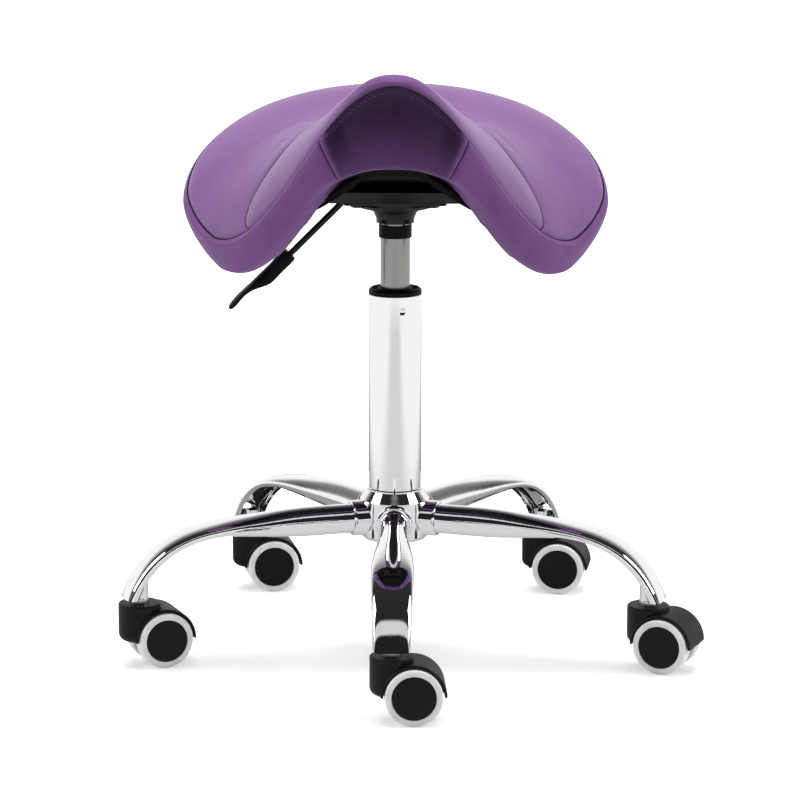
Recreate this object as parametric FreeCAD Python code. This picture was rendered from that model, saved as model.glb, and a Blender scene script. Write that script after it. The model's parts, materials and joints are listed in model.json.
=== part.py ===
"""Saddle stool: five-star chromed base on hooded twin-wheel casters, gas lift, saddle seat.

Millimetres. The origin is on the floor under the column's axis, +Z is up, the pommel and
one leg of the base point to -Y, and the height lever is on the -X side.
"""
import FreeCAD, Part
import math
import os

V = FreeCAD.Vector
UP = V(0, 0, 1)

# Casters
wheel_r = 26.0
wheel_width = 17.8
tyre_thickness = 6.1
wheel_face_y = 24.0
caster_trail = 19.0
housing_top = 60.0
boss_r = 19.75
boss_drop = 36.0
boss_round = 7.0
boss_bevel = 1.2
hood_wall = 2.3
hood_half_width = 21.5
wheel_gap = 1.3
web_half = 5.5
axle_r = 3.0
axle_hub_r = 8.0
wheel_floor = 2.5
rim_wall = 3.0
tyre_key = 1.5
tyre_round = 2.4
stem_circle_r = 250.0
caster_yaw = {"front": 3.0, "right": -23.0, "back_right": -8.0, "back_left": 12.0, "left": 23.0}

# Stems that carry the casters
stem_r = 5.45
pivot_r = 4.0
pivot_length = 25.5
stem_flange_r = 9.0
stem_flange_gap = 0.3
foot_gap = 5.0
stem_depth = 15.5
grip_groove_up = 8.0
grip_ring_height = 2.5
grip_groove_depth = 0.85

# Legs
leg_angle = {"front": -90.0, "right": -18.0, "back_right": 54.0, "back_left": 126.0, "left": 198.0}
leg_z = 126.0
leg_tube_r = 14.0
leg_start_r = 28.0
first_bend_r = 200.0
first_bend_deg = 12.0
second_bend_deg = 58.0
# where the leg's middle line leaves its second bend: above the foot and beyond the stem's axis
bend_end_up = 0.6503039
bend_end_beyond = 7.9790600
leg_tip = 9.0
leg_half_width = 19.5
foot_half_width = 17.0
leg_half_height = 6.2
leg_wall = 1.8
# how far before and past the start of the first bend the tube flattens and its channel opens
flatten_before = 67.0
flatten_past = 48.0
channel_before = 2.0
# spacing of the leg's cross-sections, and the place of the one between knuckle and flattening
leg_step = 25.0
leg_last_step = 20.0
leg_first_share = 16.0 / 41.0
channel_depth = 9.0
socket_r = 8.2
socket_height = 17.0

# Hub
hub_bottom = 105.0
hub_top = 152.0
hub_body_r = 33.0
hub_shoulder = 9.0
hub_neck_r = 26.6
knuckle_r = 16.8
knuckle_end_r = 44.0
knuckle_round = 2.4
hub_edge_round = 4.0

# Column
tube_r = 25.0
tube_wall = 1.5
tube_top = 340.0
tube_bead = 1.2
tube_bead_height = 2.5
seat_cone_deg = 1.43
tube_floor = 4.0
dimple_r = 7.0
dimple_depth = 1.1
dimple_drop = 13.0
dimple_turn_deg = -74.0
cap_height = 6.0
cap_recess = 1.6
cap_rib_count = 12
cap_rib_width = 1.3
bush_length = 53.0
cylinder_r = 14.0
cylinder_wall = 1.4
cylinder_end = 6.0
gland_height = 12.0
rod_r = 5.0
spigot_r = 4.0
spigot_hole_gap = 0.3
piston_height = 10.0
piston_spigot_r = 3.0
rod_head_height = 3.0
race_height = 2.0
race_r = 11.0
ball_r = 2.4
ball_circle_r = 8.9
ball_count = 8
collar_r = 8.0
collar_height = 2.5
buffer_r = 11.5
buffer_height = 22.2
clip_r = 8.0
clip_height = 1.2
clip_groove_depth = 0.8
travel_down = 45.0
travel_up = 95.0
stop_gap = 0.5

# Lift socket, plate and lever
shroud_bottom = 394.0
shroud_height = 12.0
shroud_wall = 1.45
socket_bottom = 408.0
neck_height = 12.0
neck_r = 18.0
neck_top_r = 20.5
dish_r = 38.5
dish_height = 10.0
dish_wall = 4.0
cylinder_top = 424.0
plate_thickness = 3.0
plate_half_x = 48.0
plate_half_y = 48.0
plate_corner_r = 8.0
bolt_x = 34.0
bolt_y = 34.0
bolt_r = 4.0
bolt_hole_gap = 0.3
bolt_head_across = 12.0
bolt_head_height = 3.0
bolt_length = 22.0
pin_r = 3.9
pin_flange_r = 6.0
pin_flange_height = 2.0
pin_inside = 10.0
lever_rod_r = 3.0
lever_pivot_x = -22.0
lever_inner_x = 1.5
lever_corner_x = -42.0
lever_bend_r = 12.0
lever_drop_deg = 45.0
lever_rod_tip = 110.0
pivot_pin_r = 2.5
pivot_barrel_r = 5.5
pivot_barrel_half = 5.5
ear_gap = 0.7
ear_thickness = 3.0
ear_half = 5.5
lever_slot_end = 12.0
handle_start = 80.0
# along the handle: distance, half thickness, half width, rise above the rod's line
handle_stations = [(0.0, 6.4, 6.4, 0.0), (3.0, 7.0, 7.2, 0.0), (18.0, 7.0, 8.4, 0.0), (34.0, 6.8, 10.4, 0.2),
                   (50.0, 3.1, 12.8, 3.9), (70.0, 2.9, 13.0, 4.1), (76.0, 1.8, 10.5, 4.1)]

# Saddle seat
seat_front = -172.0
seat_widest_y = 25.0
seat_back = 151.0
seat_half_width = 196.0
nose_half_width = 34.0
nose_roll = 12.0
nose_cap = 3.0
tail_cap = 1.2
nose_seam_z = 555.0
low_seam_z = 400.0
low_seam_y = -50.0
tail_seam_z = 520.0
nose_top_z = 567.0
valley_z = 510.0
valley_y = 10.0
tail_top_z = 524.0
nose_outline_power = 20
flank_power = 1.5
flank_round = 0.8
tail_outline_power = 2.2
nose_seam_power = 2.25
tail_seam_power = 1.3
crest_power = 1.3
nose_arch_power = 2.4
tail_arch_power = 2.1
band_height = 22.0
nose_band_extra = 50.0
tail_band_extra = 10.0
flank_band_extra = 8.0
flank_tuck = 10.0
side_tuck = 4.0
nose_band_power = 14
tail_band_power = 3
nose_tuck_power = 8
band_bulge = 4.0
under_lip = 26.0
under_lip_drop = 1.5
under_least = 0.45
under_z = 460.0
nose_under_z = 480.0
tail_under_z = 486.0
under_power = 4.4
under_flat_y = 60.0
# across the top, as shares of the seat's half width
top_steps = [0.22, 0.42, 0.6, 0.75, 0.88, 0.96, 1.0]
# across the underside, as shares of its half width: the cushion's curve and the pan's pass through them
under_steps = [0.35, 0.6, 0.78, 0.9, 0.98]
tail_round_from = 108.0
tail_round_length = 46.0
# along the seat: distances of its first cross-sections from the nose, then the places of the others
nose_steps = [0.0, 5.0, 13.0, 25.0, 42.0, 62.0, 87.0]
seat_steps = [low_seam_y, -20.0, 10.0, 40.0, 70.0, 95.0, 115.0, 130.0, 140.0, 146.0]

# Seat pan
pan_thickness = 5.0
pan_reach = 0.8
pan_front_y = -150.0
pan_back_y = 132.0
pan_box_half_x = 60.0
pan_box_front_y = -52.0
pan_box_back_y = 80.0
pan_rake = 50.0
pan_tail_rake = 24.0
pan_box_bite = 2.3
pan_box_steps = [70.0, 40.0, 0.0, -40.0, -80.0]
pan_draft = 0.97
lever_room = 13.0
lever_room_half = 12.0
lever_room_x = 10.0

# How many flats stand for the round of a turned edge
round_steps = 4

# Clearances
running = 0.05
fixed = 0.02
weld_gap = 0.12
soft_gap = 0.6
press_gap = 0.3

# Heights worked out from the values above
axle_z = wheel_r
foot_z = housing_top + foot_gap
first_bend = math.radians(first_bend_deg)
both_bends = math.radians(first_bend_deg + second_bend_deg)
second_bend_drop = leg_z - foot_z - bend_end_up - first_bend_r * (1 - math.cos(first_bend))
second_bend_r = second_bend_drop / (math.cos(first_bend) - math.cos(both_bends))
bends_reach = first_bend_r * math.sin(first_bend) + second_bend_r * (math.sin(both_bends) - math.sin(first_bend))
leg_straight_to = stem_circle_r + bend_end_beyond - bends_reach
flatten_from = leg_straight_to - flatten_before
flatten_to = leg_straight_to + flatten_past
channel_from = leg_straight_to - channel_before
plate_bottom = socket_bottom + neck_height + dish_height
plate_top = plate_bottom + plate_thickness
lever_z = plate_bottom + 1.0 + lever_rod_r
pin_top = lever_z - lever_rod_r - press_gap
tube_bottom = hub_bottom - 0.5
tube_bore_r = tube_r - tube_wall
cylinder_bore_r = cylinder_r - cylinder_wall
race_z = tube_bottom + tube_floor
ball_z = race_z + race_height + fixed + ball_r
upper_race_z = ball_z + ball_r + fixed
collar_z = upper_race_z + race_height
buffer_z = collar_z + collar_height
cylinder_bottom = buffer_z + buffer_height + travel_down + stop_gap
piston_z = cylinder_bottom + travel_up + gland_height + stop_gap
cap_z = tube_top
bush_top = tube_top - stop_gap


def ring(outer, inner, low, high):
    """A plain ring about the Z axis."""
    body = Part.makeCylinder(outer, high - low, V(0, 0, low))
    return body.cut(Part.makeCylinder(inner, high - low + 2, V(0, 0, low - 1)))


def revolve(profile):
    """Turn a closed profile of (radius, height) points about the Z axis."""
    points = [V(r, 0, z) for r, z in profile]
    points.append(points[0])
    face = Part.Face(Part.makePolygon(points))
    return face.revolve(V(0, 0, 0), UP, 360)


def round_points(r, z, radius, first_deg, last_deg):
    """Points round a corner of a turned profile: its centre (r, z), radius and the angles it runs between."""
    points = []
    for i in range(round_steps + 1):
        turn = math.radians(first_deg + (last_deg - first_deg) * i / round_steps)
        points.append((r + radius * math.cos(turn), z + radius * math.sin(turn)))
    return points


def smooth(value, low, high):
    """0 below low, 1 above high, with a smooth step between."""
    t = min(1.0, max(0.0, (value - low) / (high - low)))
    return t * t * (3 - 2 * t)


def even_steps(count):
    """Parameters a step apart: sections that share them loft into one clean surface."""
    return [float(i) for i in range(count)]


def closed_wire(points):
    """One smooth closed curve through the points."""
    curve = Part.BSplineCurve()
    curve.interpolate(Points=points, PeriodicFlag=True, Parameters=even_steps(len(points) + 1))
    return Part.Wire(curve.toShape())


def open_edge(points):
    """One smooth curve from the first point to the last."""
    curve = Part.BSplineCurve()
    curve.interpolate(Points=points, Parameters=even_steps(len(points)))
    return curve.toShape()


def place_caster(shape, name):
    """Turn a piece built on its own stem axis and put it under its leg."""
    moved = shape.copy()
    moved.rotate(V(0, 0, 0), UP, caster_yaw[name])
    turn = math.radians(leg_angle[name])
    moved.translate(V(stem_circle_r * math.cos(turn), stem_circle_r * math.sin(turn), 0))
    return moved


def across(radius, low, high, x=0.0, z=0.0):
    """A cylinder along Y from low to high."""
    return Part.makeCylinder(radius, high - low, V(x, low, z), V(0, 1, 0))


# Casters

def caster_housing():
    """Stem boss and hood in one moulding, with a web between the two wheel spaces."""
    low = housing_top - boss_drop
    profile = [(0, low)] + round_points(boss_r - boss_round, low + boss_round, boss_round, -90, 0)
    profile += [(boss_r, housing_top - boss_bevel), (boss_r - boss_bevel, housing_top), (0, housing_top)]
    boss = revolve(profile)
    space_r = wheel_r + wheel_gap
    hood_r = space_r + hood_wall
    hood = across(hood_r, -hood_half_width, hood_half_width, caster_trail, axle_z)
    hood = hood.makeChamfer(1.0, [e for e in hood.Edges if abs(e.BoundBox.YLength) < 0.1])
    upper = Part.makeBox(4 * hood_r, 4 * hood_r, 2 * hood_r, V(-2 * hood_r, -2 * hood_r, axle_z))
    body = boss.fuse(hood.common(upper))
    for side in (-1, 1):
        near = side * web_half
        far = side * (wheel_face_y + boss_r)
        body = body.cut(across(space_r, min(near, far), max(near, far), caster_trail, axle_z))
    body = body.fuse(across(axle_hub_r, -web_half, web_half, caster_trail, axle_z))
    body = body.cut(across(axle_r + fixed, -2 * boss_r, 2 * boss_r, caster_trail, axle_z))
    pivot_low = housing_top - pivot_length - 0.5
    return body.cut(Part.makeCylinder(pivot_r + running, boss_drop * 2, V(0, 0, pivot_low)))


def wheel_core():
    """Disc with a closed outer face, a rim with a key groove and a blind axle hub."""
    face = wheel_face_y
    inner = face - wheel_width
    rim_r = wheel_r - tyre_thickness
    middle = (face + inner) / 2
    profile = [(axle_r + running, inner), (axle_hub_r - 1.5, inner), (axle_hub_r - 1.5, face - wheel_floor),
               (rim_r - rim_wall, face - wheel_floor), (rim_r - rim_wall, inner + 1), (rim_r, inner + 1),
               (rim_r, middle - 2.5), (rim_r - tyre_key, middle - 2.5), (rim_r - tyre_key, middle + 2.5),
               (rim_r, middle + 2.5), (rim_r, face - 0.6), (rim_r - 0.6, face), (0, face),
               (0, face - wheel_floor - 1), (axle_r + running, face - wheel_floor - 1)]
    return revolve(profile)


def wheel_tyre():
    """Soft tread with a crowned shoulder, keyed into the rim's groove."""
    face = wheel_face_y - 0.4
    inner = wheel_face_y - wheel_width + 0.6
    rim_r = wheel_r - tyre_thickness
    middle = wheel_face_y - wheel_width / 2
    profile = [(rim_r, inner + 0.6), (rim_r + 1.5, inner)]
    profile += round_points(wheel_r - tyre_round, inner + tyre_round, tyre_round, -90, 0)
    profile += round_points(wheel_r - tyre_round, face - tyre_round, tyre_round, 0, 90)
    profile += [(rim_r + 0.5, face), (rim_r, face - 0.5), (rim_r, middle + 2.5), (rim_r - tyre_key, middle + 2.5),
                (rim_r - tyre_key, middle - 2.5), (rim_r, middle - 2.5)]
    return revolve(profile)


def on_axle(shape, side):
    """Lay a wheel piece, built about Z, on the axle at side -1 or +1."""
    moved = shape.copy()
    moved.rotate(V(0, 0, 0), V(1, 0, 0), -90 * side)
    moved.translate(V(caster_trail, 0, axle_z))
    return moved


def caster_axle():
    """Steel axle pressed through the web, ending inside the blind wheel hubs."""
    half = wheel_face_y - wheel_floor - 1.5
    return across(axle_r, -half, half, caster_trail, axle_z)


def caster_stem():
    """Pivot, flange and shank with a groove for the grip ring."""
    flange_low = housing_top + stem_flange_gap
    stem = Part.makeCylinder(pivot_r, pivot_length + stem_flange_gap, V(0, 0, housing_top - pivot_length))
    stem = stem.fuse(Part.makeCylinder(stem_flange_r, foot_z - flange_low, V(0, 0, flange_low)))
    stem = stem.fuse(Part.makeCylinder(stem_r, stem_depth, V(0, 0, foot_z)))
    groove = foot_z + grip_groove_up
    return stem.cut(ring(stem_r + 1, stem_r - grip_groove_depth, groove, groove + grip_ring_height))


def grip_ring():
    """Split spring ring in the stem's groove."""
    groove = foot_z + grip_groove_up
    body = ring(stem_r + running, stem_r - grip_groove_depth + fixed, groove + fixed,
                groove + grip_ring_height - fixed)
    return body.cut(Part.makeBox(stem_r * 2, 1.6, grip_ring_height * 3, V(0, -0.8, groove - 1)))


# Base

def leg_frame(s):
    """Centre (r, z) and slope in degrees of the leg's middle line at arc length s."""
    s1 = leg_straight_to
    s2 = s1 + first_bend_r * first_bend
    s3 = leg_end()
    r = min(s, s1)
    z = leg_z
    slope = 0.0
    if s > s1:
        slope = min(s - s1, s2 - s1) / first_bend_r
        r = s1 + first_bend_r * math.sin(slope)
        z = leg_z - first_bend_r * (1 - math.cos(slope))
    if s > s2:
        slope = first_bend + min(s - s2, s3 - s2) / second_bend_r
        r += second_bend_r * (math.sin(slope) - math.sin(first_bend))
        z -= second_bend_r * (math.cos(first_bend) - math.cos(slope))
    if s > s3:
        r += (s - s3) * math.cos(slope)
        z -= (s - s3) * math.sin(slope)
    return r, z, slope


def leg_section(s, channel):
    """Rounded section across the leg; channel gives the hollow, which drops out below."""
    r, z, slope = leg_frame(s)
    flat = smooth(s, flatten_from, flatten_to)
    open_below = smooth(s, channel_from, flatten_to)
    foot = smooth(s, flatten_to, leg_end())
    half_height = leg_tube_r + (leg_half_height - leg_tube_r) * flat
    half_width = leg_tube_r + (leg_half_width - leg_tube_r) * flat
    half_width += (foot_half_width - leg_half_width) * foot
    power = 2 + 0.5 * flat
    sink = 0.0
    if channel:
        sink = channel_depth * open_below
        half_height += sink - leg_wall
        half_width -= leg_wall
        power = 2 + 1.5 * open_below
    points = []
    for i in range(20):
        angle = 2 * math.pi * i / 20
        c, s_ = math.cos(angle), math.sin(angle)
        side = half_width * math.copysign(abs(c) ** (2 / power), c)
        rise = half_height * math.copysign(abs(s_) ** (2 / power), s_) - sink
        points.append(V(r + rise * math.sin(slope), side, z + rise * math.cos(slope)))
    return closed_wire(points)


def leg_end():
    """Arc length at the foot."""
    return leg_straight_to + first_bend_r * first_bend + second_bend_r * (both_bends - first_bend)


def leg():
    """Tube that flattens into an open channel over the caster socket, built along +X."""
    end = leg_end() + leg_tip
    start = leg_start_r
    lengths = [start, knuckle_end_r, knuckle_end_r + (flatten_from - knuckle_end_r) * leg_first_share, flatten_from,
               flatten_from + leg_step, flatten_from + 2 * leg_step, leg_straight_to, flatten_to - leg_step,
               flatten_to, flatten_to + leg_step, flatten_to + 2 * leg_step, flatten_to + 2 * leg_step + leg_last_step,
               end]
    outer = Part.makeLoft([leg_section(s, False) for s in lengths], True, False)
    lengths[0] = start - 5
    lengths[-1] = end + 5
    inner = Part.makeLoft([leg_section(s, True) for s in lengths], True, False)
    shell = outer.cut(inner)
    socket = Part.makeCylinder(socket_r, socket_height, V(stem_circle_r, 0, foot_z))
    shell = shell.fuse(socket.common(under_leg_top()))
    shell = shell.cut(Part.makeCylinder(stem_r + 2 * running, stem_depth + fixed, V(stem_circle_r, 0, foot_z)))
    floor = Part.makeBox(end, end, foot_z, V(0, -end / 2, 0))
    return shell.cut(floor)


def under_leg_top():
    """Everything below the middle of the leg's top wall, near the foot."""
    points = []
    for i in range(9):
        s = flatten_to + (leg_end() + leg_tip - flatten_to) * i / 8
        r, z, slope = leg_frame(s)
        rise = leg_half_height - leg_wall / 2
        points.append(V(r + rise * math.sin(slope), -socket_r - 2, z + rise * math.cos(slope)))
    edge = open_edge(points)
    low = V(points[0].x, points[0].y, foot_z - 30)
    corner = V(points[-1].x, points[0].y, foot_z - 30)
    sides = [Part.makeLine(points[-1], corner), Part.makeLine(corner, low), Part.makeLine(low, points[0])]
    return Part.Face(Part.Wire([edge] + sides)).extrude(V(0, 2 * socket_r + 4, 0))


def tube_cone_r(z):
    """Outer radius of the column tube's seat cone at height z."""
    return tube_r - (hub_top - z) * math.tan(math.radians(seat_cone_deg))


def base_hub():
    """Cast centre with a cone bore for the column and five round knuckles for the legs."""
    body = revolve([(0, hub_bottom), (hub_body_r - hub_edge_round, hub_bottom),
                    (hub_body_r, hub_bottom + hub_edge_round), (hub_body_r, hub_top - hub_shoulder),
                    (hub_neck_r, hub_top), (0, hub_top)])
    for angle in leg_angle.values():
        corner = round_points(knuckle_r - knuckle_round, knuckle_end_r - knuckle_round, knuckle_round, 0, 90)
        knuckle = revolve([(0, 0), (knuckle_r, 0)] + corner + [(0, knuckle_end_r)])
        knuckle.rotate(V(0, 0, 0), V(0, 1, 0), 90)
        knuckle.translate(V(0, 0, leg_z))
        knuckle.rotate(V(0, 0, 0), UP, angle)
        body = body.fuse(knuckle)
    for angle in leg_angle.values():
        bore = Part.makeCylinder(leg_tube_r + weld_gap, knuckle_end_r, V(leg_start_r - weld_gap, 0, leg_z), V(1, 0, 0))
        bore.rotate(V(0, 0, 0), UP, angle)
        body = body.cut(bore)
    low = hub_bottom - 2
    cone = Part.makeCone(tube_cone_r(low) + fixed, tube_cone_r(hub_top + 2) + fixed, hub_top + 2 - low, V(0, 0, low))
    return body.cut(cone)


def outer_tube():
    """Column tube with a seat cone at the foot, a floor for the bearing and a bead on the hub."""
    low_r = tube_cone_r(tube_bottom)
    profile = [(0, tube_bottom), (low_r, tube_bottom), (tube_r, hub_top), (tube_r + tube_bead, hub_top),
               (tube_r + tube_bead, hub_top + tube_bead_height * 0.6), (tube_r, hub_top + tube_bead_height),
               (tube_r, tube_top), (tube_bore_r, tube_top), (tube_bore_r, hub_top),
               (low_r - tube_wall, race_z), (0, race_z)]
    body = revolve(profile)
    body = body.cut(Part.makeCylinder(spigot_r + spigot_hole_gap, 30, V(0, 0, tube_bottom - 10)))
    turn = math.radians(dimple_turn_deg)
    reach = tube_r + dimple_r - dimple_depth
    centre = V(reach * math.cos(turn), reach * math.sin(turn), tube_top - dimple_drop)
    return body.cut(Part.makeSphere(dimple_r, centre))


def ring_cap():
    """Black collar on the tube with radial ribs in its recessed top."""
    high = cap_z + cap_height
    body = revolve([(cylinder_r + 2 * running, cap_z), (tube_r, cap_z), (tube_r, high - 2), (tube_r - 2, high),
                    (cylinder_r + 2 * running, high)])
    inside = cylinder_r + 2.2
    outside = tube_r - 3.2
    body = body.cut(ring(outside, inside, high - cap_recess, high + 1))
    for i in range(cap_rib_count):
        rib = Part.makeBox(outside - inside + 0.6, cap_rib_width, cap_recess,
                           V(inside - 0.3, -cap_rib_width / 2, high - cap_recess))
        rib.rotate(V(0, 0, 0), UP, 360 * i / cap_rib_count)
        body = body.fuse(rib)
    return body.removeSplitter()


def bearing_balls():
    """Full set of balls between the two races."""
    balls = []
    for i in range(ball_count):
        turn = 2 * math.pi * i / ball_count
        balls.append(Part.makeSphere(ball_r, V(ball_circle_r * math.cos(turn), ball_circle_r * math.sin(turn), ball_z)))
    return Part.makeCompound(balls)


def piston_rod():
    """Rod with a thrust collar, a lower spigot for the clip and a riveted head."""
    groove_z = tube_bottom - stop_gap - clip_height
    low = groove_z - 3.0
    top = piston_z + piston_height
    body = revolve([(0, low), (spigot_r - 0.6, low), (spigot_r, low + 0.6), (spigot_r, collar_z),
                    (collar_r, collar_z), (collar_r, buffer_z), (rod_r, buffer_z), (rod_r, piston_z),
                    (piston_spigot_r, piston_z), (piston_spigot_r, top), (piston_spigot_r + 1.5, top),
                    (piston_spigot_r, top + rod_head_height), (0, top + rod_head_height)])
    return body.cut(ring(spigot_r + 1, spigot_r - clip_groove_depth, groove_z, groove_z + clip_height))


def retaining_clip():
    """Open clip in the rod's groove under the column."""
    groove_z = tube_bottom - stop_gap - clip_height
    body = ring(clip_r, spigot_r - clip_groove_depth + fixed, groove_z + fixed, groove_z + clip_height - fixed)
    return body.cut(Part.makeBox(clip_r * 2, 4.0, clip_height * 3, V(0, -2.0, groove_z - clip_height)))


def pressure_cylinder():
    """Gas spring cylinder: open at the gland, closed at the top apart from the valve's hole."""
    neck = cylinder_top - 16
    body = revolve([(cylinder_bore_r, cylinder_bottom), (cylinder_r, cylinder_bottom), (cylinder_r, neck),
                    (cylinder_r - 0.5, cylinder_top), (0, cylinder_top), (0, cylinder_top - cylinder_end),
                    (cylinder_bore_r, cylinder_top - cylinder_end)])
    return body.cut(Part.makeCylinder(pin_r + running, 4 * cylinder_end, V(0, 0, cylinder_top - 2 * cylinder_end)))


def valve_pin():
    """Button that the lever presses; a flange keeps it inside the cylinder."""
    low = cylinder_top - cylinder_end - pin_inside
    return revolve([(0, low), (pin_flange_r, low), (pin_flange_r, low + pin_flange_height),
                    (pin_r, low + pin_flange_height), (pin_r, pin_top - 1), (pin_r - 1, pin_top), (0, pin_top)])


# Seat mechanism

def lift_socket():
    """Turned cup that holds the cylinder's cone, with a wide dish under the plate."""
    neck_z = socket_bottom + neck_height
    neck = cylinder_top - 16
    floor_z = cylinder_top + 0.5
    bore = cylinder_r + fixed
    profile = [(bore, socket_bottom), (neck_r, socket_bottom), (neck_r, socket_bottom + 4), (neck_top_r, neck_z - 2),
               (neck_top_r + 3, neck_z), (dish_r - 5, neck_z + 2.5), (dish_r, neck_z + 6), (dish_r, plate_bottom),
               (dish_r - dish_wall, plate_bottom), (dish_r - dish_wall, floor_z), (bore - 0.5, floor_z),
               (bore - 0.5, cylinder_top), (bore, neck)]
    return revolve(profile)


def mechanism_plate():
    """Plate with rounded corners, bolt holes, a lever slot and two pivot ears."""
    body = Part.makeBox(2 * plate_half_x, 2 * plate_half_y, plate_thickness,
                        V(-plate_half_x, -plate_half_y, plate_bottom))
    body = body.makeFillet(plate_corner_r, [e for e in body.Edges if abs(e.BoundBox.ZLength - plate_thickness) < 0.1])
    slot_half = pivot_barrel_half + ear_gap
    slot_x = -plate_half_x - 1
    body = body.cut(Part.makeBox(lever_slot_end / 2 - slot_x, 2 * slot_half, 40, V(slot_x, -slot_half, plate_bottom - 20)))
    for side in (-1, 1):
        y = side * slot_half - (ear_thickness if side < 0 else 0)
        ear = Part.makeBox(2 * ear_half, ear_thickness, lever_z + ear_half - plate_bottom,
                           V(lever_pivot_x - ear_half, y, plate_bottom))
        body = body.fuse(ear)
    body = body.cut(across(pivot_pin_r + fixed, -plate_half_y, plate_half_y, lever_pivot_x, lever_z))
    for x in (-bolt_x, bolt_x):
        for y in (-bolt_y, bolt_y):
            body = body.cut(Part.makeCylinder(bolt_r + bolt_hole_gap, 20, V(x, y, plate_bottom - 10)))
    return body.removeSplitter()


def plate_bolts():
    """Four bolts with low hexagon heads, up through the plate into the pan."""
    bolts = []
    corner = bolt_head_across / math.sqrt(3)
    for x in (-bolt_x, bolt_x):
        for y in (-bolt_y, bolt_y):
            turns = [math.radians(60 * i) for i in range(7)]
            low = plate_bottom - bolt_head_height
            outline = [V(x + corner * math.cos(t), y + corner * math.sin(t), low) for t in turns]
            head = Part.Face(Part.makePolygon(outline)).extrude(V(0, 0, bolt_head_height))
            bolts.append(head.fuse(Part.makeCylinder(bolt_r, bolt_length, V(x, y, plate_bottom))))
    return Part.makeCompound(bolts)


def pivot_pin():
    """Pin through the two ears and the lever's barrel."""
    half = pivot_barrel_half + ear_gap + ear_thickness + 0.8
    return across(pivot_pin_r, -half, half, lever_pivot_x, lever_z)


def lever_line(distance, rise=0.0):
    """Point on the lever's sloping line at a distance from its corner, raised across it."""
    turn = math.radians(lever_drop_deg)
    x = lever_corner_x - distance * math.cos(turn) - rise * math.sin(turn)
    z = lever_z - distance * math.sin(turn) + rise * math.cos(turn)
    return V(x, 0, z)


def lever_rod():
    """Bent round rod with a pivot barrel; its inner end lies over the valve pin."""
    turn = math.radians(lever_drop_deg)
    reach = lever_bend_r * math.tan(turn / 2)
    inner = V(lever_inner_x, 0, lever_z)
    first = V(lever_corner_x + reach, 0, lever_z)
    last = lever_line(reach)
    centre = V(first.x, 0, lever_z - lever_bend_r)
    middle = centre + V(-math.sin(turn / 2), 0, math.cos(turn / 2)) * lever_bend_r
    path = Part.Wire([Part.makeLine(inner, first), Part.Arc(first, middle, last).toShape(),
                      Part.makeLine(last, lever_line(lever_rod_tip))])
    section = Part.Wire(Part.makeCircle(lever_rod_r, inner, V(-1, 0, 0)))
    body = path.makePipeShell([section], True, True)
    body = body.fuse(across(pivot_barrel_r, -pivot_barrel_half, pivot_barrel_half, lever_pivot_x, lever_z))
    return body.cut(across(pivot_pin_r + running, -plate_half_y, plate_half_y, lever_pivot_x, lever_z))


def lever_handle():
    """Moulded paddle with a waist and a flared tip, over the end of the rod."""
    turn = math.radians(lever_drop_deg)
    up = V(-math.sin(turn), 0, math.cos(turn))
    sections = []
    for distance, half_thick, half_wide, rise in handle_stations:
        centre = lever_line(handle_start + distance, rise)
        points = []
        for i in range(12):
            angle = 2 * math.pi * i / 12
            c, s = math.cos(angle), math.sin(angle)
            side = half_wide * math.copysign(abs(c) ** 0.75, c)
            lift = half_thick * math.copysign(abs(s) ** 0.75, s)
            points.append(centre + up * lift + V(0, side, 0))
        sections.append(closed_wire(points))
    body = Part.makeLoft(sections, True, False)
    start = lever_line(handle_start - 5)
    along = lever_line(lever_rod_tip + fixed) - start
    return body.cut(Part.makeCylinder(lever_rod_r + fixed, along.Length, start, along))


# Saddle seat

def seat_shape(y):
    """Widths and heights of the seat's cross-section at y: all its curves come from these."""
    if y < seat_widest_y:
        u = (seat_widest_y - y) / (seat_widest_y - seat_front)
        flank = (seat_half_width - nose_half_width) * (1 - u ** flank_power) ** flank_round
        half = nose_half_width * math.sqrt(1 - u ** nose_outline_power) + flank
    else:
        u = (y - seat_widest_y) / (seat_back - seat_widest_y)
        half = seat_half_width * (1 - u ** tail_outline_power) ** (1 / tail_outline_power)
    to_nose = max(0.0, u if y < seat_widest_y else 0.0)
    to_tail = max(0.0, (y - low_seam_y) / (seat_back - low_seam_y))
    if y < low_seam_y:
        fall = (low_seam_y - y) / (low_seam_y - seat_front)
        seam = low_seam_z + (nose_seam_z - low_seam_z) * fall ** nose_seam_power
    else:
        seam = low_seam_z + (tail_seam_z - low_seam_z) * to_tail ** tail_seam_power
    if y < valley_y:
        rise = ((valley_y - y) / (valley_y - seat_front)) ** crest_power
        crest = valley_z + (nose_top_z - valley_z) * rise
    else:
        crest = valley_z + (tail_top_z - valley_z) * smooth(y, valley_y, tail_round_from)
    short = max(0.0, 1 - (y - seat_front) / nose_roll)
    crest = seam + (crest - seam) * math.sqrt(1 - short ** 2)
    on_flank = smooth(-y, -seat_widest_y, -1.6 * low_seam_y)
    band = band_height + flank_band_extra * on_flank + nose_band_extra * to_nose ** nose_band_power
    band += tail_band_extra * to_tail ** tail_band_power
    tuck = (side_tuck + (flank_tuck - side_tuck) * on_flank) * (1 - to_nose ** nose_tuck_power)
    under = under_z + (nose_under_z - under_z) * smooth(-y, under_flat_y, -seat_front)
    under += (tail_under_z - under_z) * smooth(y, under_flat_y, seat_back)
    power = nose_arch_power + (tail_arch_power - nose_arch_power) * smooth(y, seat_front / 2, seat_back / 2)
    return {"half": half, "seam": seam, "crest": crest, "low": seam - band, "tuck": tuck, "under": under,
            "power": power}


def rounded_tail(y, z):
    """Height z drawn in towards the middle of the padding, which rounds the seat's tail."""
    if y <= tail_round_from:
        return z
    shape = seat_shape(y)
    middle = (shape["crest"] + shape["under"]) / 2
    return middle + (z - middle) * math.sqrt(max(0.0, 1 - ((y - tail_round_from) / tail_round_length) ** 2))


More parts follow.
